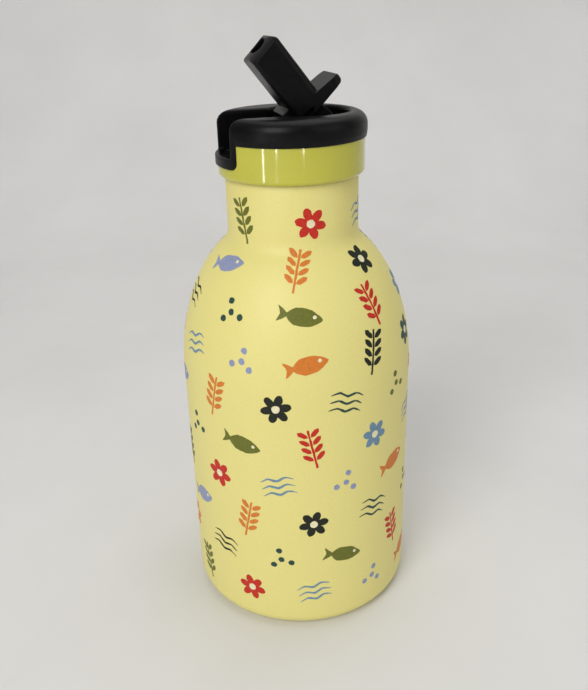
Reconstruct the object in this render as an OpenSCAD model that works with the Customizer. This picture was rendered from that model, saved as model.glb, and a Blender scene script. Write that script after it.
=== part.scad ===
// Kids' straw water bottle: a single-wall steel body with a screw lid that has a flip-up drinking spout.
// Origin at the centre of the base, +Z up. The lid's slot faces -X and the spout swings in the XZ plane.

/* [Bottle] */

// Radius of the straight lower body
body_r = 33; // [31:0.5:35]
// Height where the straight body ends and the shoulder starts
shoulder_z = 73.1; // [60:0.1:73.1]
// Wall thickness of the steel shell
wall = 0.8; // [0.6:0.1:1]
// Radius of the rounded edge at the base
base_fillet = 4.6; // [3:0.1:6]
// Outer radius of the neck
neck_r = 17.93; // [17.9:0.01:17.95]

/* [Lid] */

// Outer radius of the glossy collar
collar_r = 19.45; // [19.2:0.05:19.6]
// Outer radius of the black cap on the collar
cap_r = 20.05; // [19.7:0.05:20.2]
// Half the width of the slot that the folded spout lies in
slot_half = 8.7; // [8.6:0.1:9.2]
// Radius of the round basin round the spout
basin_r = 11.7; // [11:0.1:12]
// Pitch of the screw thread
thread_pitch = 4; // [3.6:0.1:4.4]

/* [Spout] */

// Width of the spout across its hinge
spout_w = 13; // [12:0.1:13.2]
// Thickness of the spout
spout_t = 8.7; // [7.8:0.1:8.8]
// Length of the spout from its hinge line to its tip
spout_len = 24.3; // [21:0.1:24.5]
// Angle of the spout above level as it stands
spout_angle = 52; // [20:0.5:80]

/* [Straw] */

// Outer radius of the straw
straw_r = 3.3; // [3:0.1:3.6]
// Height of the straw's lower end above the base
straw_end_z = 8; // [6:0.5:20]

/* [Hidden] */

$fn = 96;
eps = 0.01;

// Shell profile
shoulder_a = 25.6;
shoulder_b = 41.8;
neck_fillet = 5.46;
rim_z = 129.2;
foot_r = 24;
base_rise = 2;
base_wall = 0.8;

// Levels of the lid
collar_z0 = 127.9;
collar_edge_r = 1;
cap_z0 = 137;
cap_z1 = 143.4;
cap_edge_r = 3.2;
rim_r = 1;
flange_z0 = 130.7;
floor_z0 = 131.9;
floor_z1 = 132.9;
lip_z0 = 130.9;
lip_z1 = 133.6;
lip_r = 19.8;
lip_in_r = 18.4;
leg_w = 1.4;
leg_corner_r = 2;
sleeve_r = 17;
collar_in_r = 17.2;
collar_skirt_in_r = 18.3;
basin_x = 3.9;

// Plug and thread
plug_z0 = 118;
plug_r = 14.3;
plug_in_r = 12.9;
ring_out_r = neck_r - wall;
ring_in_r = 16.3;
ring_z0 = 115.5;
ring_z1 = 128.6;
thread_turns = 2;
thread_step = 7.5;
thread_h = 1.45;
thread_root = 1.4;
thread_crest = 0.6;

// Hinge
pivot_x = 3.2;
pivot_z = 137.5;
drum_r = 8.5;
drum_from = -13;
drum_to = 122;
hub_r = 3.4;
trunnion_r = 1.5;
trunnion_gap = 0.06;
trunnion_end = 8;
bracket_y0 = 6.8;
bracket_y1 = 8.2;
bracket_r = 2.8;
bar_axis = 4.65;
bar_top_r = 1.9;
bar_low_r = 1.1;
bar_u0 = 5;
tip_top_r = 2.2;
tip_low_r = 1.2;
end_slant = 8;
nose_r = 16;
drum_inset = 1.2;
lever_top = 15.6;
lever_edge_r = 2.2;
duct_r = 2.3;
duct_half = 1.2;
port_r = 1.9;
seat_port_r = 2;

// Straw parts
nozzle_r = 2.6;
nozzle_bore_r = 1.9;
nozzle_z0 = 112;
sleeve_out_r = 4.4;
sleeve_z0 = 100;
sleeve_z1 = 117;
straw_in_r = 2.6;
straw_z1 = 112;

// Vent
vent_x = -6.2;
vent_hole_r = 1.2;
vent_cap_r = 2.4;
vent_cap_h = 0.8;
vent_bulb_r = 1.7;
vent_bulb_h = 1.8;

// Angles of the port through the hub and of the straw's cut end
port_tilt = 25;
straw_cut_tilt = 25;

// Seat under the hub
seat_half_x = 4.2;
seat_half_y = 6.2;
seat_h = 2;
seat_gap = 0.3;

// Reach of cuts that pass right through
reach = 30;
frame_x0 = -25;
frame_x1 = -8.5;

// One point of the shoulder's ellipse, moved out along its normal by d
function ell(t, d) =
    let (nr = cos(t) / shoulder_a, nz = sin(t) / shoulder_b, n = sqrt(nr * nr + nz * nz))
    [body_r - shoulder_a + shoulder_a * cos(t) + d * nr / n,
     shoulder_z + shoulder_b * sin(t) + d * nz / n];

// Angle on the ellipse where the neck's fillet meets it
function meet(lo, hi, n) =
    let (m = (lo + hi) / 2)
    n == 0 ? m : (ell(m, neck_fillet)[0] > neck_r + neck_fillet ? meet(m, hi, n - 1) : meet(lo, m, n - 1));

meet_t = meet(20, 88, 30);
fillet_c = ell(meet_t, neck_fillet);
fillet_a = atan2(ell(meet_t, 0)[1] - fillet_c[1], ell(meet_t, 0)[0] - fillet_c[0]);

// Side of the shell from the base edge to the rim, moved in by d
function shell_side(d) = concat(
    [for (i = [0:12]) let (a = -90 + 90 * i / 12)
        [body_r - base_fillet + (base_fillet - d) * cos(a), base_fillet + (base_fillet - d) * sin(a)]],
    [for (i = [0:24]) ell(meet_t * i / 24, -d)],
    [for (i = [1:12]) let (a = fillet_a + (-180 - fillet_a) * i / 12)
        [fillet_c[0] + (neck_fillet + d) * cos(a), fillet_c[1] + (neck_fillet + d) * sin(a)]],
    [[neck_r - d, rim_z]]);

function rev(v) = [for (i = [len(v) - 1:-1:0]) v[i]];

module ring(r0, r1, z0, z1) {
    translate([0, 0, z0])
    difference() {
        cylinder(r = r1, h = z1 - z0);
        translate([0, 0, -eps]) cylinder(r = r0, h = z1 - z0 + 2 * eps);
    }
}

// A helical ridge; side = 1 points outward, -1 inward
module thread(root_r, side, z0) {
    n = thread_turns * 360 / thread_step;
    tip_r = root_r + side * thread_h;
    base_r = root_r - side * 0.15;
    pts = [for (i = [0:n])
        let (a = i * thread_step, z = z0 + thread_pitch * a / 360,
             k = min(1, min(i, n - i) / 6 + 0.12), r = base_r + (tip_r - base_r) * k)
        each [[base_r * cos(a), base_r * sin(a), z - thread_root / 2],
              [r * cos(a), r * sin(a), z - thread_crest / 2],
              [r * cos(a), r * sin(a), z + thread_crest / 2],
              [base_r * cos(a), base_r * sin(a), z + thread_root / 2]]];
    side_faces = [for (i = [0:n - 1]) for (j = [0:3])
        let (p = 4 * i + j, q = 4 * i + (j + 1) % 4)
        each [[p, p + 4, q + 4], [p, q + 4, q]]];
    ends = [[0, 1, 2], [0, 2, 3], [4 * n, 4 * n + 2, 4 * n + 1], [4 * n, 4 * n + 3, 4 * n + 2]];
    faces = concat(side_faces, ends);
    polyhedron(points = pts, faces = side < 0 ? faces : [for (f = faces) rev(f)], convexity = 8);
}

module bottle_body() {
    color([0.92, 0.88, 0.6])
    rotate_extrude()
    polygon(concat([[foot_r, 0]], shell_side(0), rev(shell_side(wall)), [[foot_r, wall]]));
}

module bottle_base() {
    color([0.75, 0.75, 0.76])
    rotate_extrude()
    polygon([[0, base_rise], [foot_r - 3.5, base_rise], [foot_r - 1.5, wall], [foot_r + 3, wall],
             [foot_r + 3, wall + base_wall], [foot_r - 1.1, wall + base_wall],
             [foot_r - 3.1, base_rise + base_wall], [0, base_rise + base_wall]]);
}

module neck_thread_ring() {
    color([0.7, 0.7, 0.72]) {
        ring(ring_in_r, ring_out_r, ring_z0, ring_z1);
        thread(ring_in_r, -1, ring_z0 + 2);
    }
}

module lid_plug() {
    color([0.12, 0.12, 0.12]) {
        difference() {
            union() {
                translate([0, 0, plug_z0]) cylinder(r = plug_r, h = floor_z0 - plug_z0);
                translate([0, 0, flange_z0]) cylinder(r = sleeve_r, h = floor_z0 - flange_z0);
            }
            translate([0, 0, plug_z0 - eps]) cylinder(r = plug_in_r, h = flange_z0 - plug_z0);
            translate([pivot_x, 0, flange_z0 - 2]) cylinder(r = nozzle_bore_r, h = 10);
            translate([vent_x, 0, flange_z0 - 2]) cylinder(r = vent_hole_r, h = 10);
        }
        translate([pivot_x, 0, 0]) ring(nozzle_bore_r, nozzle_r + 1, straw_z1 + 5, flange_z0 + 0.2);
        translate([pivot_x, 0, 0]) ring(nozzle_bore_r, nozzle_r, nozzle_z0 + 0.5, straw_z1 + 5.2);
        thread(plug_r, 1, ring_z0 + 2 + thread_pitch / 2);
    }
}

// Outline of the slot's frame, seen along X
module frame_2d(grow) {
    w = slot_half + leg_w + grow;
    z0 = lip_z0 - grow;
    translate([-w + leg_corner_r, z0]) square([2 * (w - leg_corner_r), 20]);
    translate([-w, z0 + leg_corner_r]) square([2 * w, 20]);
    for (s = [-1, 1])
        translate([s * (w - leg_corner_r), z0 + leg_corner_r]) circle(r = leg_corner_r);
}

module frame_block(x0, x1, grow) {
    translate([x0, 0, 0]) rotate([90, 0, 90]) linear_extrude(x1 - x0) frame_2d(grow);
}

module lid_collar() {
    color([0.74, 0.75, 0.3])
    difference() {
        rotate_extrude()
        polygon(concat(
            [[collar_skirt_in_r, collar_z0]],
            [for (i = [0:8]) let (a = -90 + 90 * i / 8)
                [collar_r - collar_edge_r + collar_edge_r * cos(a),
                 collar_z0 + collar_edge_r + collar_edge_r * sin(a)]],
            [[collar_r, cap_z0], [collar_in_r, cap_z0], [collar_in_r, flange_z0 + 0.2],
             [collar_skirt_in_r, flange_z0 + 0.2]]));
        frame_block(frame_x0, frame_x1 + 0.5, 0.05);
    }
}

// What is taken off a square edge to round it: the wall is at x = 0, the top at y = 0
module round_off_2d(r) {
    polygon(concat([[-0.5, 0.5], [-0.5, -r], [0, -r]],
        [for (a = [15:15:90]) [r - r * cos(a), r * sin(a) - r]], [[r, 0.5]]));
}

module basin_cut() {
    translate([basin_x, 0, floor_z1]) cylinder(r = basin_r, h = 20);
    translate([basin_x, 0, cap_z1]) rotate_extrude() translate([basin_r, 0]) round_off_2d(rim_r);
    for (s = [0, 1])
        mirror([0, s, 0]) translate([-reach, slot_half, cap_z1])
        rotate([90, 0, 90]) linear_extrude(26.5) round_off_2d(rim_r);
    translate([-reach, -slot_half, lip_z1]) cube([reach, 2 * slot_half, 20]);
    intersection() {
        translate([-reach, -slot_half, floor_z1]) cube([reach, 2 * slot_half, 20]);
        cylinder(r = lip_in_r, h = cap_z1);
    }
}

// Posts in the basin that carry the hinge
module brackets() {
    for (s = [-1, 1])
        translate([pivot_x, s * (bracket_y0 + bracket_y1) / 2 + (bracket_y1 - bracket_y0) / 2, 0])
        rotate([90, 0, 0]) linear_extrude(bracket_y1 - bracket_y0) {
            translate([0, pivot_z]) circle(r = bracket_r);
            translate([-bracket_r, floor_z1 - 0.5]) square([2 * bracket_r, pivot_z - floor_z1 + 0.5]);
        }
}

module cap_ring() {
    rotate_extrude()
    polygon(concat(
        [[0, cap_z0], [cap_r - 0.25, cap_z0], [cap_r, cap_z0 + 1.5]],
        [for (i = [0:12]) let (a = 90 * i / 12)
            [cap_r - cap_edge_r + cap_edge_r * cos(a), cap_z1 - cap_edge_r + cap_edge_r * sin(a)]],
        [[0, cap_z1]]));
}

// The part of the cap that reaches down over the collar round the slot
module slot_frame() {
    intersection() {
        frame_block(frame_x0, frame_x1, 0);
        union() {
            ring(sleeve_r + 0.2, cap_r, lip_z0 - 1, cap_z0 + 1);
            ring(sleeve_r + 0.2, lip_r, lip_z0 - 1, lip_z1);
            translate([0, 0, floor_z0]) cylinder(r = cap_r, h = cap_z0 - floor_z0 + 1);
        }
    }
}

module lid_top() {
    color([0.1, 0.1, 0.1])
    difference() {
        union() {
            difference() {
                union() {
                    cap_ring();
                    translate([0, 0, floor_z0]) cylinder(r = sleeve_r, h = cap_z0 - floor_z0 + 0.5);
                    slot_frame();
                }
                basin_cut();
            }
            brackets();
        }
        translate([pivot_x, 0, pivot_z]) rotate([90, 0, 0])
        cylinder(r = trunnion_r + trunnion_gap, h = 2 * bracket_y1 + 1, center = true);
        translate([pivot_x, 0, floor_z0 - 1]) cylinder(r = seat_port_r + 0.8, h = 4);
        translate([vent_x, 0, floor_z0 - 1]) cylinder(r = vent_hole_r, h = 4);
    }
}

module lid_gasket() {
    color([0.85, 0.85, 0.83])
    ring(plug_r + 0.5, neck_r - 0.1, rim_z + 0.1, flange_z0);
}

module spout_seat() {
    color([0.2, 0.2, 0.2])
    difference() {
        union() {
            translate([pivot_x - seat_half_x, -seat_half_y, floor_z1])
            cube([2 * seat_half_x, 2 * seat_half_y, seat_h]);
            translate([pivot_x, 0, floor_z0]) cylinder(r = seat_port_r + 0.8, h = 1.5);
        }
        translate([pivot_x, 0, pivot_z]) rotate([90, 0, 0])
        cylinder(r = hub_r + seat_gap, h = reach, center = true);
        translate([pivot_x, 0, floor_z0 - 1]) cylinder(r = seat_port_r, h = 10);
    }
}

module vent_valve() {
    color([0.8, 0.8, 0.78])
    translate([vent_x, 0, 0]) {
        translate([0, 0, floor_z1]) cylinder(r = vent_cap_r, h = vent_cap_h);
        translate([0, 0, flange_z0 - 1.2]) cylinder(r = vent_hole_r, h = floor_z1 - flange_z0 + 1.3);
        translate([0, 0, flange_z0 - vent_bulb_h])
        cylinder(r1 = vent_bulb_r / 2, r2 = vent_bulb_r, h = vent_bulb_h);
    }
}

// Section of the bar, with round edges
module bar_2d() {
    w = spout_w / 2;
    low = bar_axis - spout_t / 2;
    top = bar_axis + spout_t / 2;
    translate([bar_top_r - w, low]) square([spout_w - 2 * bar_top_r, spout_t]);
    translate([bar_low_r - w, low]) square([spout_w - 2 * bar_low_r, spout_t - bar_top_r]);
    translate([-w, low + bar_low_r]) square([spout_w, spout_t - bar_top_r - bar_low_r]);
    for (s = [-1, 1]) {
        translate([s * (w - bar_low_r), low + bar_low_r]) circle(r = bar_low_r);
        translate([s * (w - bar_top_r), top - bar_top_r]) circle(r = bar_top_r);
    }
}

// Centre of a tip corner of radius r at height w: the end leans out at the top
function tip_corner(w, r) = [spout_len + (w - bar_axis) * tan(end_slant) - r / cos(end_slant), w];
end_normal = [cos(end_slant), -sin(end_slant)];

// Side view of the bar, with round corners at the tip
module bar_side_2d() {
    low = bar_axis - spout_t / 2;
    top = bar_axis + spout_t / 2;
    c_low = tip_corner(low + tip_low_r, tip_low_r);
    c_top = tip_corner(top - tip_top_r, tip_top_r);
    polygon([[0, low], [c_low[0], low], c_low + tip_low_r * end_normal,
             c_top + tip_top_r * end_normal, [c_top[0], top], [0, top]]);
    translate(c_low) circle(r = tip_low_r);
    translate(c_top) circle(r = tip_top_r);
}

// Drum that fills the basin round the hinge, a sector of a cylinder
module drum() {
    far = reach;
    intersection() {
        rotate([90, 0, 0]) cylinder(r = drum_r, h = spout_w - 2 * drum_inset, center = true);
        translate([0, 10, 0]) rotate([90, 0, 0]) linear_extrude(20)
        polygon([[0, 0], [far * cos(drum_from), far * sin(drum_from)], [far, far],
                 [-far, far], [far * cos(drum_to), far * sin(drum_to)]]);
    }
}

module lever() {
    w = spout_w / 2;
    intersection() {
        translate([0, w, 0]) rotate([90, 0, 0]) linear_extrude(spout_w)
        polygon([[3.3, 4.5], [7.25, 7], [7, lever_top - 0.5], [6.5, lever_top], [5.4, lever_top],
                 [4.8, lever_top - 0.7]]);
        union() {
            translate([0, -w, 0]) cube([10, spout_w, lever_top - lever_edge_r]);
            translate([0, -w + lever_edge_r, 0]) cube([10, spout_w - 2 * lever_edge_r, lever_top + 1]);
            for (s = [-1, 1])
                translate([0, s * (w - lever_edge_r), lever_top - lever_edge_r])
                rotate([0, 90, 0]) cylinder(r = lever_edge_r, h = 10);
        }
    }
}

// The spout as it lies level: u runs from the hinge to the tip, w is up
module spout_level() {
    difference() {
        union() {
            intersection() {
                translate([bar_u0, 0, 0]) rotate([90, 0, 90]) linear_extrude(30) bar_2d();
                translate([0, 10, 0]) rotate([90, 0, 0]) linear_extrude(20) bar_side_2d();
                translate([spout_len, 0, bar_axis]) rotate([0, end_slant, 0])
                translate([-nose_r, 0, -15]) cylinder(r = nose_r, h = 30);
            }
            drum();
            lever();
            rotate([90, 0, 0]) cylinder(r = hub_r, h = spout_w, center = true);
            rotate([90, 0, 0]) cylinder(r = trunnion_r, h = 2 * trunnion_end, center = true);
        }
        // Drinking duct, oval along the bar and round through the hub
        translate([6, 0, bar_axis]) rotate([90, 0, 90]) linear_extrude(30) {
            square([2 * duct_half, 2 * duct_r], center = true);
            for (s = [-1, 1])
                translate([s * duct_half, 0]) circle(r = duct_r);
        }
        translate([7.2, 0, bar_axis]) rotate([0, -90 - port_tilt, 0]) cylinder(r = port_r, h = 14);
    }
}

module spout() {
    color([0.11, 0.11, 0.11])
    translate([pivot_x, 0, pivot_z])
    rotate([0, spout_angle, 0])
    mirror([1, 0, 0])
    spout_level();
}

module straw_sleeve() {
    color([0.8, 0.8, 0.78])
    translate([pivot_x, 0, 0])
    difference() {
        translate([0, 0, sleeve_z0]) cylinder(r = sleeve_out_r, h = sleeve_z1 - sleeve_z0);
        translate([0, 0, straw_z1]) cylinder(r = nozzle_r, h = 20);
        translate([0, 0, sleeve_z0 - 1]) cylinder(r = straw_r, h = straw_z1 - sleeve_z0 + 1 + eps);
    }
}

module straw() {
    color([0.9, 0.9, 0.9])
    translate([pivot_x, 0, 0])
    difference() {
        translate([0, 0, straw_end_z]) cylinder(r = straw_r, h = straw_z1 - straw_end_z);
        translate([0, 0, straw_end_z - 1]) cylinder(r = straw_in_r, h = straw_z1 - straw_end_z + 2);
        translate([0, 0, straw_end_z - 3.2]) rotate([0, straw_cut_tilt, 0]) cube([20, 20, 5], center = true);
    }
}

bottle_body();
bottle_base();
neck_thread_ring();
lid_plug();
lid_collar();
lid_top();
lid_gasket();
spout_seat();
vent_valve();
spout();
straw_sleeve();
straw();
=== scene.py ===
import math
import random

import bpy
import bmesh
from mathutils import Matrix, Vector
from mathutils.geometry import delaunay_2d_cdt


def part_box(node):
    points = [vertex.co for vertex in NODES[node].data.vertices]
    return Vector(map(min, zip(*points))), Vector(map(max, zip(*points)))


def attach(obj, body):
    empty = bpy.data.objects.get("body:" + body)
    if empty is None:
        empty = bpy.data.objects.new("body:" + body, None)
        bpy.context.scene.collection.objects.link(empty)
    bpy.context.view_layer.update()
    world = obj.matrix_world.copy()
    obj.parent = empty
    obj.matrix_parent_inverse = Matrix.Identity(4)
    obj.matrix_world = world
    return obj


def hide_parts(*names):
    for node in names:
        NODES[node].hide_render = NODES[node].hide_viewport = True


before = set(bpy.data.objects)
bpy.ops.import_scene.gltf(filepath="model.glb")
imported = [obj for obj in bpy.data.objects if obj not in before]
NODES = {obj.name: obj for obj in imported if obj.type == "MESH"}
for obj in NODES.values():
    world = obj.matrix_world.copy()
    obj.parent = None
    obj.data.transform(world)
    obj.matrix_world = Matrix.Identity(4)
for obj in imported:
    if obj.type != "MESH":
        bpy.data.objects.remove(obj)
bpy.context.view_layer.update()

MM = 0.001

# The CAD shell's own measures, in millimetres
BODY_LO, BODY_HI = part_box("bottle_body")
BODY_R = (BODY_HI[0] - BODY_LO[0]) / 2 / MM
RIM_Z = BODY_HI[2] / MM
WALL = 0.8
BASE_FILLET = 4.6
SHOULDER_Z = 73.1
SHOULDER_A = 25.6
SHOULDER_B = 41.8
NECK_R = 17.93
NECK_FILLET = 5.46
FOOT_R = 24.0
# The rim's rounded edges, and how far down from the rim the steel is bare
RIM_BEVEL_H = 0.3
RIM_BEVEL_W = 0.2
BARE_RIM_H = 0.35
# How far the coated skin lies inside the CAD surface, which the prints come up to
COAT_DEPTH = 0.12


# ---------------------------------------------------------------- materials
def srgb(r, g, b):
    def lin(c):
        c /= 255
        return c / 12.92 if c <= 0.04045 else ((c + 0.055) / 1.055) ** 2.4

    return (lin(r), lin(g), lin(b), 1.0)


class Nodes:
    """Short way to build a material's nodes."""

    def __init__(self, name):
        self.mat = bpy.data.materials.new(name)
        self.mat.use_nodes = True
        self.tree = self.mat.node_tree
        self.shader = self.tree.nodes["Principled BSDF"]
        self.coord = self.add("ShaderNodeTexCoord").outputs["Object"]

    def add(self, kind, **values):
        node = self.tree.nodes.new(kind)
        for key, value in values.items():
            setattr(node, key, value)
        return node

    def link(self, a, b):
        self.tree.links.new(a, b)

    def noise(self, scale, detail=4.0, rough=0.55, stretch=(1, 1, 1)):
        mapping = self.add("ShaderNodeMapping")
        mapping.inputs["Scale"].default_value = stretch
        self.link(self.coord, mapping.inputs["Vector"])
        node = self.add("ShaderNodeTexNoise")
        node.inputs["Scale"].default_value = scale
        node.inputs["Detail"].default_value = detail
        node.inputs["Roughness"].default_value = rough
        self.link(mapping.outputs["Vector"], node.inputs["Vector"])
        return node.outputs["Fac"]

    def ramp(self, value, stops):
        node = self.add("ShaderNodeValToRGB")
        ramp = node.color_ramp
        ramp.elements[0].position, ramp.elements[0].color = stops[0]
        ramp.elements[1].position, ramp.elements[1].color = stops[-1]
        for place, colour in stops[1:-1]:
            ramp.elements.new(place).color = colour
        self.link(value, node.inputs["Fac"])
        return node.outputs["Color"]

    def span(self, value, low, high):
        node = self.add("ShaderNodeMapRange")
        node.inputs["To Min"].default_value = low
        node.inputs["To Max"].default_value = high
        self.link(value, node.inputs["Value"])
        return node.outputs["Result"]

    def bump(self, value, strength, distance):
        node = self.add("ShaderNodeBump")
        node.inputs["Strength"].default_value = strength
        node.inputs["Distance"].default_value = distance
        self.link(value, node.inputs["Height"])
        self.link(node.outputs["Normal"], self.shader.inputs["Normal"])

    def put(self, name, value):
        socket = self.shader.inputs[name]
        if hasattr(value, "links"):
            self.link(value, socket)
        else:
            socket.default_value = value


def shade(colour, k):
    return (colour[0] * k, colour[1] * k, colour[2] * k, 1.0)


def powder_coat():
    m = Nodes("powder coat")
    base = srgb(237, 225, 139)
    m.put("Base Color", m.ramp(m.noise(2600, 3), [(0.3, shade(base, 0.965)), (0.7, shade(base, 1.02))]))
    m.put("Roughness", m.span(m.noise(900, 2), 0.42, 0.56))
    m.bump(m.noise(2600, 3, 0.6), 0.16, 0.00008)
    return m.mat


def brushed_steel():
    m = Nodes("brushed steel")
    m.put("Metallic", 1.0)
    streaks = m.noise(260, 5, 0.6, (1, 1, 14))
    m.put("Base Color", m.ramp(streaks, [(0.3, (0.42, 0.42, 0.43, 1)), (0.7, (0.62, 0.62, 0.62, 1))]))
    m.put("Roughness", m.span(m.noise(340, 4, 0.6, (1, 1, 18)), 0.24, 0.42))
    m.bump(m.noise(900, 3, 0.6, (1, 1, 20)), 0.1, 0.00004)
    return m.mat


def black_plastic():
    m = Nodes("black plastic")
    m.put("Base Color", m.ramp(m.noise(500, 4), [(0.3, srgb(5, 5, 6)), (0.75, srgb(12, 12, 13))]))
    m.put("Roughness", m.span(m.noise(700, 3), 0.3, 0.42))
    m.put("Specular IOR Level", 0.17)
    m.bump(m.noise(5200, 2, 0.6), 0.12, 0.00004)
    return m.mat


def collar_plastic():
    m = Nodes("glossy collar plastic")
    base = srgb(196, 192, 64)
    m.put("Base Color", m.ramp(m.noise(60, 2), [(0.3, shade(base, 0.95)), (0.7, shade(base, 1.04))]))
    m.put("Roughness", m.span(m.noise(300, 3), 0.07, 0.13))
    m.put("Coat Weight", 0.5)
    m.put("Coat Roughness", 0.05)
    m.put("Subsurface Weight", 0.12)
    m.put("Subsurface Radius", (0.002, 0.002, 0.0008))
    m.bump(m.noise(130, 2), 0.03, 0.0002)
    return m.mat


def silicone(name, colour, rough=0.45):
    m = Nodes(name)
    m.put("Base Color", m.ramp(m.noise(300, 3), [(0.3, shade(colour, 0.9)), (0.7, colour)]))
    m.put("Roughness", m.span(m.noise(500, 3), rough - 0.06, rough + 0.08))
    m.put("Subsurface Weight", 0.2)
    m.put("Subsurface Radius", (0.002, 0.002, 0.002))
    m.bump(m.noise(1800, 2), 0.1, 0.00006)
    return m.mat


def straw_plastic():
    m = Nodes("clear straw plastic")
    streaks = m.noise(200, 3, 0.5, (1, 1, 0.1))
    m.put("Base Color", m.ramp(streaks, [(0.3, (0.72, 0.76, 0.77, 1)), (0.7, (0.85, 0.88, 0.88, 1))]))
    m.put("Roughness", m.span(m.noise(400, 3), 0.18, 0.3))
    m.put("Transmission Weight", 0.5)
    m.put("IOR", 1.49)
    return m.mat


INKS = {}


def ink(r, g, b):
    """Screen-print ink of one colour, with a little grain."""
    key = (r, g, b)
    if key not in INKS:
        m = Nodes("print ink %d %d %d" % key)
        base = srgb(r, g, b)
        light = tuple(min(1, c * 1.12 + 0.012) for c in base[:3]) + (1,)
        grain = m.noise(1500, 4, 0.7)
        m.put("Base Color", m.ramp(grain, [(0.34, shade(base, 0.88)), (0.52, base), (0.7, light)]))
        m.put("Roughness", m.span(m.noise(900, 2), 0.46, 0.6))
        m.put("Specular IOR Level", 0.3)
        m.bump(m.noise(2600, 3, 0.6), 0.12, 0.00005)
        INKS[key] = m.mat
    return INKS[key]


# ---------------------------------------------------------------- the shell's surface
def ellipse_point(t, d):
    """Radius and height on the shoulder at angle t, moved out by d."""
    nr, nz = math.cos(t) / SHOULDER_A, math.sin(t) / SHOULDER_B
    n = math.hypot(nr, nz)
    return (
        BODY_R - SHOULDER_A + SHOULDER_A * math.cos(t) + d * nr / n,
        SHOULDER_Z + SHOULDER_B * math.sin(t) + d * nz / n,
    )


def find_meet():
    """Angle on the shoulder where the neck's fillet takes over."""
    low, high = 0.35, 1.55
    for _ in range(50):
        mid = (low + high) / 2
        if ellipse_point(mid, NECK_FILLET)[0] > NECK_R + NECK_FILLET:
            low = mid
        else:
            high = mid
    return low


MEET = find_meet()
FILLET_C = ellipse_point(MEET, NECK_FILLET)
FILLET_A = math.atan2(ellipse_point(MEET, 0)[1] - FILLET_C[1], ellipse_point(MEET, 0)[0] - FILLET_C[0])


def shell_side(d, base_steps=12, shoulder_steps=64, fillet_steps=20, straight_steps=10):
    """The shell's side from the base edge to the rim, moved in by d."""
    out = []
    for i in range(base_steps + 1):
        a = -math.pi / 2 * (1 - i / base_steps)
        r = BASE_FILLET - d
        out.append((BODY_R - BASE_FILLET + r * math.cos(a), BASE_FILLET + r * math.sin(a)))
    for i in range(1, straight_steps):
        out.append((BODY_R - d, BASE_FILLET + (SHOULDER_Z - BASE_FILLET) * i / straight_steps))
    for i in range(shoulder_steps + 1):
        out.append(ellipse_point(MEET * i / shoulder_steps, -d))
    for i in range(1, fillet_steps + 1):
        a = FILLET_A + (-math.pi - FILLET_A) * i / fillet_steps
        r = NECK_FILLET + d
        out.append((FILLET_C[0] + r * math.cos(a), FILLET_C[1] + r * math.sin(a)))
    return out


def trace_side():
    """Outer side as a path: distance along it, radius, height, and the outward normal."""
    points = shell_side(0) + [(NECK_R, RIM_Z)]
    path = []
    along = 0.0
    for i, (r, z) in enumerate(points):
        if i:
            along += math.hypot(r - points[i - 1][0], z - points[i - 1][1])
        a, b = points[max(i - 1, 0)], points[min(i + 1, len(points) - 1)]
        length = math.hypot(b[0] - a[0], b[1] - a[1])
        path.append((along, r, z, (b[1] - a[1]) / length, -(b[0] - a[0]) / length))
    return path


SIDE = trace_side()


def side_at(along):
    """Radius, height and normal at a distance along the side."""
    low, high = 0, len(SIDE) - 1
    while high - low > 1:
        mid = (low + high) // 2
        if SIDE[mid][0] <= along:
            low = mid
        else:
            high = mid
    a, b = SIDE[low], SIDE[high]
    k = min(max((along - a[0]) / (b[0] - a[0]), 0), 1)
    return [a[j] + (b[j] - a[j]) * k for j in range(1, 5)]


def along_at(z):
    """Distance along the side at a height."""
    for a, b in zip(SIDE, SIDE[1:]):
        if a[2] <= z <= b[2]:
            return a[0] + (b[0] - a[0]) * (z - a[2]) / max(b[2] - a[2], 1e-9)
    return SIDE[-1][0]


# ---------------------------------------------------------------- mesh helpers
def new_object(name, verts, faces, material):
    mesh = bpy.data.meshes.new(name)
    mesh.from_pydata([tuple(c * MM for c in v) for v in verts], [], faces)
    mesh.update()
    obj = bpy.data.objects.new(name, mesh)
    bpy.context.collection.objects.link(obj)
    mesh.materials.append(material)
    mesh.polygons.foreach_set("use_smooth", [True] * len(mesh.polygons))
    return obj


def soft_edges(obj, degrees=32):
    """Smooth shading that stays sharp at real edges."""
    bpy.context.view_layer.objects.active = obj
    for other in bpy.context.selected_objects:
        other.select_set(False)
    obj.select_set(True)
    bpy.ops.object.shade_smooth_by_angle(angle=math.radians(degrees))
    obj.select_set(False)


def revolve(name, profile, material, smooth_deg, segments=256):
    """A closed profile of (radius, height) turned about Z."""
    verts, faces, start = [], [], []
    for r, z in profile:
        start.append((len(verts), r < 1e-6))
        if r < 1e-6:
            verts.append((0, 0, z))
        else:
            for s in range(segments):
                a = 2 * math.pi * s / segments
                verts.append((r * math.cos(a), r * math.sin(a), z))
    count = len(profile)
    for i in range(count):
        (p, p_axis), (q, q_axis) = start[i], start[(i + 1) % count]
        if p_axis and q_axis:
            continue
        for s in range(segments):
            t = (s + 1) % segments
            if p_axis:
                faces.append((p, q + t, q + s))
            elif q_axis:
                faces.append((p + s, p + t, q))
            else:
                faces.append((p + s, p + t, q + t, q + s))
    obj = new_object(name, verts, faces, material)
    bm = bmesh.new()
    bm.from_mesh(obj.data)
    bmesh.ops.recalc_face_normals(bm, faces=bm.faces)
    bm.to_mesh(obj.data)
    bm.free()
    soft_edges(obj, smooth_deg)
    return obj


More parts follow.
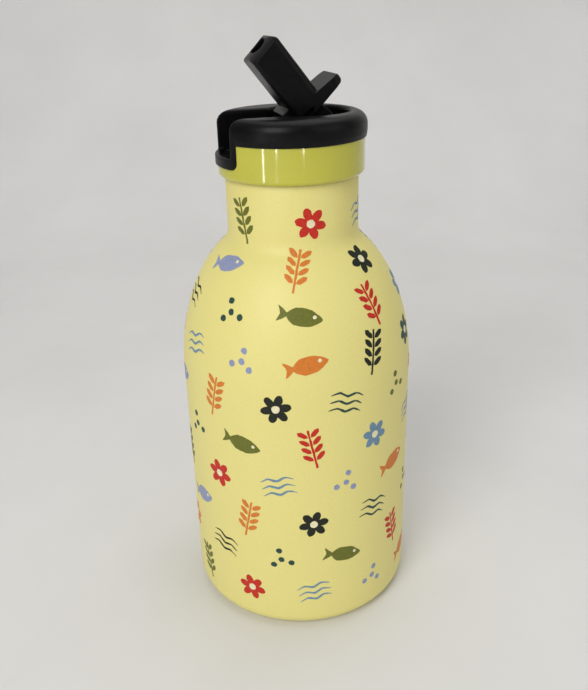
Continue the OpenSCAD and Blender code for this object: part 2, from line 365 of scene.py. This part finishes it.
def smooth_copy(node, name, voxel, passes, material):
    """A copy of a CAD node with every edge softened, as a moulding has."""
    obj = NODES[node].copy()
    obj.data = NODES[node].data.copy()
    obj.name = name
    bpy.context.collection.objects.link(obj)
    obj.hide_render = False
    obj.data.materials.clear()
    obj.data.materials.append(material)
    weld = obj.modifiers.new("weld", "WELD")
    weld.merge_threshold = 1e-6
    remesh = obj.modifiers.new("remesh", "REMESH")
    remesh.mode = "VOXEL"
    remesh.voxel_size = voxel * MM
    remesh.use_smooth_shade = True
    smooth = obj.modifiers.new("smooth", "SMOOTH")
    smooth.factor = 0.5
    smooth.iterations = passes
    graph = bpy.context.evaluated_depsgraph_get()
    mesh = bpy.data.meshes.new_from_object(obj.evaluated_get(graph))
    obj.modifiers.clear()
    obj.data = mesh
    mesh.polygons.foreach_set("use_smooth", [True] * len(mesh.polygons))
    return obj


# ---------------------------------------------------------------- the vessel
COAT = powder_coat()
STEEL = brushed_steel()
BLACK = black_plastic()
LIME = collar_plastic()


def is_bare_steel(r, z):
    """True on the shell's inner side and round the rim, which have no coat."""
    if z > RIM_Z - BARE_RIM_H:
        return True
    # The foot ring's underside and edge are coated
    if z <= WALL * 0.99:
        return False
    if z > BASE_FILLET:
        return r < side_at(along_at(z))[0] - WALL / 2
    centre = BODY_R - BASE_FILLET
    return r < centre or math.hypot(r - centre, z - BASE_FILLET) < BASE_FILLET - WALL / 2


def build_body():
    out_r = NECK_R - COAT_DEPTH
    in_r = NECK_R - WALL
    bevel_z = RIM_Z - RIM_BEVEL_H
    rim = [(out_r, bevel_z), (out_r - RIM_BEVEL_W, RIM_Z), (in_r + RIM_BEVEL_W, RIM_Z), (in_r, bevel_z)]
    inner = shell_side(WALL)[::-1]
    profile = [(FOOT_R, 0)] + shell_side(COAT_DEPTH) + rim + inner + [(FOOT_R, WALL)]
    body = revolve("bottle_body_coated", profile, COAT, smooth_deg=40)
    body.data.materials.append(STEEL)
    for face in body.data.polygons:
        c = face.center
        if is_bare_steel(math.hypot(c.x, c.y) / MM, c.z / MM):
            face.material_index = 1
    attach(body, "bottle")
    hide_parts("bottle_body")


build_body()

lid_top = smooth_copy("lid_top", "lid_cap_black", voxel=0.24, passes=3, material=BLACK)
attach(lid_top, "lid")
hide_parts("lid_top")
spout = smooth_copy("spout", "flip_spout", voxel=0.18, passes=4, material=BLACK)
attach(spout, "spout")
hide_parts("spout")

NODES["lid_collar"].data.materials.clear()
NODES["lid_collar"].data.materials.append(LIME)
soft_edges(NODES["lid_collar"])
for key, material in (
    ("bottle_base", STEEL),
    ("neck_thread_ring", STEEL),
    ("lid_plug", BLACK),
    ("lid_gasket", silicone("gasket silicone", (0.75, 0.75, 0.72, 1))),
    ("vent_valve", silicone("valve silicone", (0.7, 0.72, 0.72, 1))),
    ("straw_sleeve", silicone("sleeve silicone", (0.66, 0.68, 0.68, 1))),
    ("spout_seat", silicone("dark seat silicone", (0.02, 0.02, 0.021, 1), 0.5)),
    ("straw", straw_plastic()),
):
    NODES[key].data.materials.clear()
    NODES[key].data.materials.append(material)


# ---------------------------------------------------------------- printed pattern
# The prints are thin closed films that follow the side. Depths count inwards from the CAD surface.
FILM_FOOT = 0.16
FILM_TOPS = (0.075, 0.04)
# Points inside a film: their spacing, and how near to the outline they may come
FILM_GRID = 1.5
FILM_CLEAR = 0.45
# Points this close are joined, and triangles smaller than this are dropped
FILM_WELD = 0.004
FILM_SLIVER = 1e-7
# No print comes nearer to the rim than this, measured along the side
RIM_MARGIN = 2
# Outlines: steps along a curve, the longest edge, and the brush's unevenness
CURVE_STEP = 0.7
EDGE_REACH = 1.1
EDGE_WOBBLE = 0.07
# Rows of the print: lowest and highest, how many, the step round the side, and how far a drawing leans
FIRST_ROW_Z = 13
LAST_ROW_Z = 118
ROWS = 10
COLUMN_STEP = 18
LEAN = 12
PETALS = 6
LEAF_PAIRS = 4

CREAM = (240, 232, 190)
RED = (200, 44, 30)
TEAL = (44, 74, 66)
ORANGE = (218, 126, 46)
BLUE_GREY = (112, 144, 168)
OLIVE = (108, 112, 38)
DARK_GREEN = (28, 32, 20)
LILAC = (146, 154, 186)
INK_COLOURS = (RED, TEAL, ORANGE, BLUE_GREY, OLIVE, DARK_GREEN, LILAC)


def curve(points, closed=True, pull=0.36):
    """Smooth line through the points, in short steps."""
    count = len(points)
    out = []
    for i in range(count if closed else count - 1):
        p1, p2 = points[i], points[(i + 1) % count]
        p0 = points[i - 1] if closed or i else p1
        p3 = points[(i + 2) % count] if closed or i + 2 < count else p2
        steps = max(2, int(math.hypot(p2[0] - p1[0], p2[1] - p1[1]) / CURVE_STEP))
        for s in range(steps):
            t = s / steps
            a = 2 * t ** 3 - 3 * t ** 2 + 1
            b = t ** 3 - 2 * t ** 2 + t
            c = t ** 3 - t ** 2
            out.append(tuple(
                a * p1[k] + b * pull * (p2[k] - p0[k]) + (1 - a) * p2[k] + c * pull * (p3[k] - p1[k])
                for k in (0, 1)))
    if not closed:
        out.append(tuple(points[-1]))
    return out


def stroke(points, width, taper="both"):
    """Outline of a brush stroke along a smooth line; taper says which ends are thin."""
    line = curve(points, closed=False)
    last = len(line) - 1
    left, right = [], []
    for i, (x, y) in enumerate(line):
        a, b = line[max(i - 1, 0)], line[min(i + 1, last)]
        n = math.hypot(b[0] - a[0], b[1] - a[1]) or 1
        t = i / last
        arch = math.sin(math.pi * (0.06 + 0.88 * t))
        oblong = (1 - abs(2 * t - 1) ** 3) ** 0.6
        full = {"both": arch, "leaf": oblong, "none": 1.0}[taper]
        h = width / 2 * max(full, 0.12)
        nx, ny = -(b[1] - a[1]) / n * h, (b[0] - a[0]) / n * h
        left.append((x + nx, y + ny))
        right.append((x - nx, y - ny))
    return left + right[::-1]


def lens(x, y, length, width, degrees):
    """A seed or short dash centred at x, y."""
    a = math.radians(degrees)
    dx, dy = math.cos(a) * length / 2, math.sin(a) * length / 2
    return stroke([(x - dx, y - dy), (x, y), (x + dx, y + dy)], width, "leaf")


def blob(x, y, rx, ry=None, turn=0.0):
    """An ellipse, or a circle when ry is left out."""
    ry = ry or rx
    count = max(8, int(2 * math.pi * max(rx, ry) / 0.5))
    c, s = math.cos(math.radians(turn)), math.sin(math.radians(turn))
    angles = [2 * math.pi * i / count for i in range(count)]
    ring = [(rx * math.cos(a), ry * math.sin(a)) for a in angles]
    return [(x + c * u - s * v, y + s * u + c * v) for u, v in ring]


def dense(outline):
    """The outline with points added, so that no edge cuts through the curved skin."""
    out = []
    for (ax, ay), (bx, by) in zip(outline, outline[1:] + outline[:1]):
        steps = math.ceil(math.hypot(bx - ax, by - ay) / EDGE_REACH)
        out += [(ax + (bx - ax) * i / steps, ay + (by - ay) * i / steps) for i in range(steps)]
    return out


def film_mesh(name, outlines, place, layer, material):
    """A closed film over all the outlines; place turns local x, y and a depth into a point."""
    verts, loops = [], []
    for outline in outlines:
        loops.append(list(range(len(verts), len(verts) + len(outline))))
        verts += [Vector(p) for p in outline]
        xs, ys = [p[0] for p in outline], [p[1] for p in outline]
        for i in range(1, int((max(xs) - min(xs)) / FILM_GRID) + 1):
            for j in range(1, int((max(ys) - min(ys)) / FILM_GRID) + 1):
                x, y = min(xs) + (i + 0.3 * (j % 2)) * FILM_GRID, min(ys) + j * FILM_GRID
                if inside(x, y, outline) and clear_of(x, y, outline, FILM_CLEAR):
                    verts.append(Vector((x, y)))
    flat, _, faces, _, _, owners = delaunay_2d_cdt(verts, [], loops, 1, FILM_WELD)
    faces = [f for f, owner in zip(faces, owners) if owner and area2(flat, f) > FILM_SLIVER]
    bm = bmesh.new()
    top = [bm.verts.new(place(p[0], p[1], FILM_TOPS[layer])) for p in flat]
    low = [bm.verts.new(place(p[0], p[1], FILM_FOOT)) for p in flat]
    for f in faces:
        bm.faces.new([top[i] for i in f])
        bm.faces.new([low[i] for i in reversed(f)])
    # A dict, since a set would not keep the order
    edges = {(a, b): None for f in faces for a, b in zip(f, f[1:] + f[:1])}
    rims = []
    for a, b in edges:
        if (b, a) not in edges:
            rims.append(bm.faces.new((top[b], top[a], low[a], low[b])))
    bmesh.ops.delete(bm, geom=[v for v in bm.verts if not v.link_faces], context="VERTS")
    for face in bm.faces:
        face.smooth = True
    for face in rims:
        face.smooth = False
        for edge in face.edges:
            edge.smooth = False
    mesh = bpy.data.meshes.new(name)
    bm.to_mesh(mesh)
    bm.free()
    obj = bpy.data.objects.new(name, mesh)
    bpy.context.collection.objects.link(obj)
    mesh.materials.append(material)
    return obj


def area2(points, face):
    """Twice the signed area of a triangle."""
    (ax, ay), (bx, by), (cx, cy) = (points[i][:2] for i in face)
    return (bx - ax) * (cy - ay) - (by - ay) * (cx - ax)


def inside(x, y, outline):
    hit = False
    for (ax, ay), (bx, by) in zip(outline, outline[1:] + outline[:1]):
        if (ay > y) != (by > y) and x < (bx - ax) * (y - ay) / (by - ay) + ax:
            hit = not hit
    return hit


def clear_of(x, y, outline, gap):
    return all(math.hypot(x - p, y - q) > gap for p, q in outline)


class Motif:
    """One printed drawing. Local millimetres: x to the right and y up, about a point on the side."""

    def __init__(self, name, azimuth, along, turn):
        self.name, self.along = name, along
        self.azimuth, self.turn = math.radians(azimuth), math.radians(turn)
        self.rng = random.Random(name)

    def place(self, x, y, depth):
        """Point on the bottle, in metres, for a local x, y and a depth under the CAD surface."""
        r, z, nr, nz = side_at(min(max(self.along + y, SIDE[2][0]), SIDE[-1][0] - RIM_MARGIN))
        a = self.azimuth + x / r
        r, z = r - nr * depth, z - nz * depth
        return (r * math.cos(a) * MM, r * math.sin(a) * MM, z * MM)

    def turned(self, x, y):
        """Local point after the turn, with the brush's unevenness."""
        c, s = math.cos(self.turn), math.sin(self.turn)
        wobble = self.rng.uniform(-EDGE_WOBBLE, EDGE_WOBBLE)
        return (c * x - s * y + wobble, s * x + c * y + wobble)

    def ink(self, label, colour, outlines, layer=0):
        """Print the outlines in one colour; a higher layer lies over a lower one."""
        shapes = [[self.turned(x, y) for x, y in dense(outline)] for outline in outlines]
        shapes = [s if signed_area(s) > 0 else s[::-1] for s in shapes]
        obj = film_mesh("print_%s_%s" % (self.name, label), shapes, self.place, layer, ink(*colour))
        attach(obj, "bottle")


def signed_area(outline):
    """Twice the area inside an outline, negative if it runs clockwise."""
    return sum(a[0] * b[1] - b[0] * a[1] for a, b in zip(outline, outline[1:] + outline[:1]))


# The print is a plain repeat of simple shapes, laid out by rule in staggered rows
def fish(m, colour):
    m.ink("body", colour, [
        curve([(-4.8, 0), (-2.4, 2.2), (1.6, 2.1), (4.8, 0), (1.6, -2.1), (-2.4, -2.2)]),
        curve([(-4.2, 0), (-6.9, 2.1), (-6.2, 0), (-6.9, -2.1)]),
    ])
    m.ink("eye", CREAM, [blob(2.6, 0.5, 0.5)], 1)


def sprig(m, colour):
    shapes = [stroke([(0, -6), (0, 0), (0, 6)], 0.6, "none")]
    for i in range(LEAF_PAIRS):
        for side in (-1, 1):
            shapes.append(lens(side * 1.7, 2.4 * i - 2.4, 3.2, 1.4, 90 - side * 50))
    m.ink("sprig", colour, shapes)


def flower(m, colour):
    petals = []
    for i in range(PETALS):
        a = 2 * math.pi * i / PETALS
        petals.append(blob(2.5 * math.cos(a), 2.5 * math.sin(a), 1.7, 1.15, math.degrees(a)))
    m.ink("petals", colour, petals)
    m.ink("centre", CREAM, [blob(0, 0, 1.1)], 1)


def dots(m, colour):
    m.ink("dots", colour, [blob(x, y, 0.9) for x, y in ((-2.6, -1.5), (2.6, -1.5), (0, 3), (0, 0))])


def waves(m, colour):
    lines = []
    for y in (-2.2, 0, 2.2):
        lines.append(stroke([(-4.8, y), (-2.4, y + 0.9), (0, y), (2.4, y + 0.9), (4.8, y)], 0.7))
    m.ink("waves", colour, lines)


def print_rows():
    """Rows of drawings up the side, each row moved round by half a step from the last."""
    low, high = along_at(FIRST_ROW_Z), along_at(LAST_ROW_Z)
    for row in range(ROWS):
        along = low + (high - low) * row / (ROWS - 1)
        radius = side_at(along)[0]
        count = int(2 * math.pi * radius / COLUMN_STEP)
        for i in range(count):
            azimuth = 360 * (i + 0.5 * (row % 2)) / count
            draw = DRAWINGS[(i + 2 * row) % len(DRAWINGS)]
            colour = INK_COLOURS[(3 * i + row) % len(INK_COLOURS)]
            turn = LEAN * (-1) ** (i + row)
            draw(Motif("%s_%d_%d" % (draw.__name__, row, i), azimuth, along, turn), colour)


DRAWINGS = (fish, sprig, flower, waves, dots)

print_rows()


# ---------------------------------------------------------------- stage and camera
# Camera: direction of view from above, and the tilt it was held at
VIEW_AZ = -14.5
VIEW_PITCH = -24.19
VIEW_ROLL = -1.57
VIEW_YAW = -0.183
VIEW_DIST = 0.20357
VIEW_HEIGHT = 0.16849
VIEW_LENS = 39.59

# Floor and backdrop in metres: half width, front edge, start and radius of the curve, top
STAGE_HALF_W = 1.8
STAGE_FRONT = -1.6
STAGE_CURVE_Y = 0.32
STAGE_CURVE_R = 0.25
STAGE_TOP = 1.6
STAGE_DROP = 0.0002


def build_stage():
    plaster = Nodes("pale plaster")
    patches = plaster.noise(9, 4)
    greys = [(0.3, (0.70, 0.69, 0.67, 1)), (0.7, (0.76, 0.75, 0.73, 1))]
    plaster.put("Base Color", plaster.ramp(patches, greys))
    plaster.put("Roughness", 0.75)
    plaster.bump(plaster.noise(220, 4), 0.05, 0.0004)
    verts, faces = [], []
    steps = 16
    profile = [(STAGE_FRONT, 0.0), (STAGE_CURVE_Y, 0.0)]
    for i in range(1, steps + 1):
        a = math.pi / 2 * i / steps
        y = STAGE_CURVE_Y + STAGE_CURVE_R * math.sin(a)
        profile.append((y, STAGE_CURVE_R - STAGE_CURVE_R * math.cos(a)))
    profile.append((STAGE_CURVE_Y + STAGE_CURVE_R, STAGE_TOP))
    for y, z in profile:
        verts += [(-STAGE_HALF_W, y, z), (STAGE_HALF_W, y, z)]
    for i in range(len(profile) - 1):
        faces.append((2 * i, 2 * i + 1, 2 * i + 3, 2 * i + 2))
    mesh = bpy.data.meshes.new("backdrop")
    mesh.from_pydata(verts, [], faces)
    mesh.polygons.foreach_set("use_smooth", [True] * len(mesh.polygons))
    obj = bpy.data.objects.new("backdrop", mesh)
    bpy.context.collection.objects.link(obj)
    mesh.materials.append(plaster.mat)
    obj.rotation_euler = (0, 0, math.radians(VIEW_AZ))
    obj.location = (0, 0, -STAGE_DROP)


def build_camera():
    data = bpy.data.cameras.new("camera")
    camera = bpy.data.objects.new("camera", data)
    bpy.context.collection.objects.link(camera)
    bpy.context.scene.camera = camera
    data.lens = VIEW_LENS
    data.sensor_width = 36
    data.clip_start = 0.01
    data.clip_end = 20
    turn = Matrix.Rotation(math.radians(VIEW_AZ - VIEW_YAW), 4, "Z")
    tilt = Matrix.Rotation(math.radians(90 + VIEW_PITCH), 4, "X")
    roll = Matrix.Rotation(math.radians(VIEW_ROLL), 4, "Z")
    place = Matrix.Rotation(math.radians(VIEW_AZ), 4, "Z") @ Vector((0, -VIEW_DIST, VIEW_HEIGHT))
    camera.matrix_world = Matrix.Translation(place) @ turn @ tilt @ roll


def area_light(name, place, target, size, power):
    """Place, target and size in metres as seen from the camera's azimuth, and power in watts."""
    data = bpy.data.lights.new(name, "AREA")
    data.shape = "RECTANGLE"
    data.size, data.size_y = size
    data.energy = power
    obj = bpy.data.objects.new(name, data)
    bpy.context.collection.objects.link(obj)
    obj.visible_camera = False
    spin = Matrix.Rotation(math.radians(VIEW_AZ), 4, "Z")
    here, there = spin @ Vector(place), spin @ Vector(target)
    aim = (there - here).to_track_quat("-Z", "Y")
    obj.matrix_world = Matrix.Translation(here) @ aim.to_matrix().to_4x4()


def build_lights():
    area_light("key window", (-0.42, -0.82, 0.75), (0, 0, 0.08), (0.5, 0.7), 6.9)
    area_light("fill", (0.9, -0.5, 0.6), (0, 0, 0.08), (0.9, 0.9), 2)
    area_light("top", (0.1, 0.25, 1.1), (0, 0, 0.05), (1.0, 1.0), 5)
    area_light("window strip", (-0.234, -0.26, 0.11), (0, 0, 0.11), (0.011, 0.13), 0.07)
    area_light("small pane", (-0.128, -0.326, 0.085), (0, 0, 0.085), (0.014, 0.014), 0.012)
    area_light("low pane", (-0.128, -0.326, 0.05), (0, 0, 0.05), (0.01, 0.014), 0.006)
    area_light("far pane", (0.108, -0.333, 0.085), (0, 0, 0.085), (0.012, 0.016), 0.008)
    world = bpy.data.worlds.new("room")
    bpy.context.scene.world = world
    world.use_nodes = True
    world.node_tree.nodes["Background"].inputs["Color"].default_value = (0.95, 0.97, 1.0, 1)
    world.node_tree.nodes["Background"].inputs["Strength"].default_value = 0.2


build_stage()
build_camera()
build_lights()
bpy.context.scene.view_settings.view_transform = "Standard"
